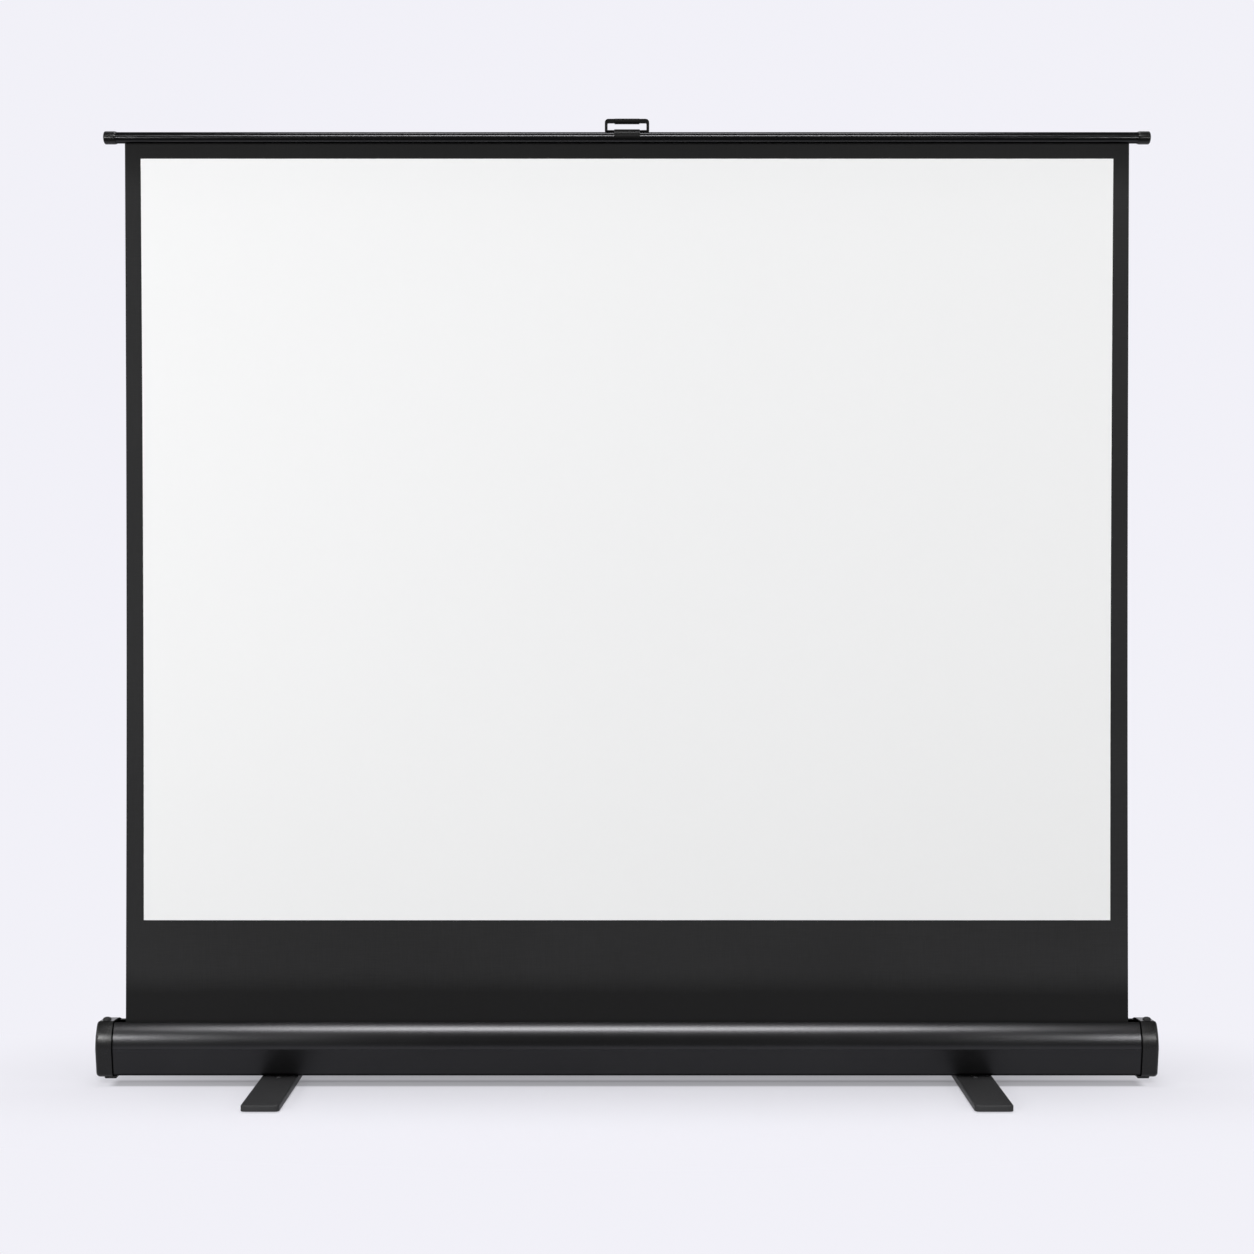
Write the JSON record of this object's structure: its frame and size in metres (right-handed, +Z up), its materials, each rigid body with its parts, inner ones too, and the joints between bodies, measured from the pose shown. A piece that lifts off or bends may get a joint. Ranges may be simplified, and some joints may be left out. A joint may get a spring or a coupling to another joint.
{
  "type": "pull-up projection screen",
  "caption": "Floor-standing pull-up projection screen: a white screen with a black border rises from a roller casing on geared folding arms, over swivel feet.",
  "frame": {"origin": "on the floor, midway between the feet, under the middle of the casing", "axes": "+X along the casing to the viewer's right, +Y away from the viewer, +Z up"},
  "size_m": [1.7796, 0.396, 1.6188],
  "materials": {
    "casing_metal": "satin black anodised extrusion",
    "arm_metal": "satin black",
    "foot_metal": "satin black coated",
    "painted_steel": "black paint",
    "steel": "zinc plated",
    "bare_aluminium": "mill finish",
    "moulded_plastic": "fine moulded grain",
    "nylon": "natural nylon",
    "rubber": "matt",
    "black_fabric": "matt coated",
    "white_fabric": "matt white viewing surface"
  },
  "bodies": {
    "casing": {"casing_base": "casing_metal", "casing_front_cover": "casing_metal", "casing_rear_cover": "casing_metal", "end_cap_left": "moulded_plastic", "end_cap_right": "moulded_plastic", "rest_bumper_left": "rubber", "rest_bumper_right": "rubber", "roller_bush_left": "nylon", "roller_bush_right": "nylon", "roller_spring_shaft": "steel", "arm_base_bracket": "painted_steel", "base_pin_left": "steel", "base_pin_right": "steel", "foot_bolt_left": "steel", "foot_bolt_right": "steel", "foot_washer_left": "nylon", "foot_washer_right": "nylon", "bracket_screw_left": "steel", "bracket_screw_right": "steel", "screen_backing": "black_fabric", "viewing_surface": "white_fabric"},
    "roller": {"roller_tube": "bare_aluminium", "fabric_wraps": "black_fabric", "roller_idler_plug": "moulded_plastic", "roller_spring_plug": "moulded_plastic", "roller_spring": "steel"},
    "lower_arm_left": {"lower_arm_left": "arm_metal", "elbow_pin_left": "steel", "elbow_washer_left": "nylon"},
    "lower_arm_right": {"lower_arm_right": "arm_metal", "elbow_pin_right": "steel", "elbow_washer_right": "nylon"},
    "upper_arm_left": {"upper_arm_left": "arm_metal"},
    "upper_arm_right": {"upper_arm_right": "arm_metal"},
    "top_bar": {"top_bar_tube": "casing_metal", "top_bar_cap_left": "moulded_plastic", "top_bar_cap_right": "moulded_plastic", "hem_spline": "nylon", "top_hem": "black_fabric", "arm_top_bracket": "painted_steel", "top_pin_left": "steel", "top_pin_right": "steel", "bar_screw_left": "steel", "bar_screw_right": "steel", "handle_saddle": "moulded_plastic"},
    "handle": {"handle_bail": "moulded_plastic"},
    "foot_left": {"foot_left": "foot_metal", "foot_stud_left": "steel", "foot_pad_left_front": "rubber", "foot_pad_left_rear": "rubber"},
    "foot_right": {"foot_right": "foot_metal", "foot_stud_right": "steel", "foot_pad_right_front": "rubber", "foot_pad_right_rear": "rubber"}
  },
  "joints": [
    {"name": "screen_lower", "type": "hinge", "parent": "casing", "child": "lower_arm_left", "pos_m": [-0.014, 0, 0.07836], "axis": [0, -1, 0], "range_deg": [0, 66.01], "deforming": ["screen_backing", "viewing_surface"]},
    {"name": "right_arm_fold", "type": "hinge", "parent": "casing", "child": "lower_arm_right", "pos_m": [0.014, 0, 0.07836], "axis": [0, -1, 0], "range_deg": [-66.01, 0]},
    {"name": "left_elbow", "type": "hinge", "parent": "lower_arm_left", "child": "upper_arm_left", "pos_m": [-0.33578, 0, 0.81488], "axis": [0, -1, 0], "range_deg": [-132.02, 0]},
    {"name": "right_elbow", "type": "hinge", "parent": "lower_arm_right", "child": "upper_arm_right", "pos_m": [0.33578, 0, 0.81488], "axis": [0, -1, 0], "range_deg": [0, 132.02]},
    {"name": "bar_level", "type": "hinge", "parent": "upper_arm_left", "child": "top_bar", "pos_m": [-0.014, 0, 1.5514], "axis": [0, -1, 0], "range_deg": [0, 66.01]},
    {"name": "roller_spin", "type": "hinge", "parent": "casing", "child": "roller", "pos_m": [0, -0.0074, 0.0395], "axis": [1, 0, 0], "continuous": true},
    {"name": "handle_fold", "type": "hinge", "parent": "top_bar", "child": "handle", "pos_m": [0, -0.025, 1.5982], "axis": [1, 0, 0], "range_deg": [-90, 90]},
    {"name": "left_foot_swivel", "type": "hinge", "parent": "casing", "child": "foot_left", "pos_m": [-0.5835, 0, 0.0122], "axis": [0, 0, 1], "range_deg": [0, 90]},
    {"name": "right_foot_swivel", "type": "hinge", "parent": "casing", "child": "foot_right", "pos_m": [0.5835, 0, 0.0122], "axis": [0, 0, 1], "range_deg": [-90, 0]}
  ],
  "couplings": [
    {"joint": "right_arm_fold", "follows": "screen_lower", "ratio": -1},
    {"joint": "left_elbow", "follows": "screen_lower", "ratio": -2},
    {"joint": "right_elbow", "follows": "screen_lower", "ratio": 2},
    {"joint": "bar_level", "follows": "screen_lower", "ratio": 1},
    {"joint": "roller_spin", "follows": "screen_lower", "ratio": 65}
  ]
}
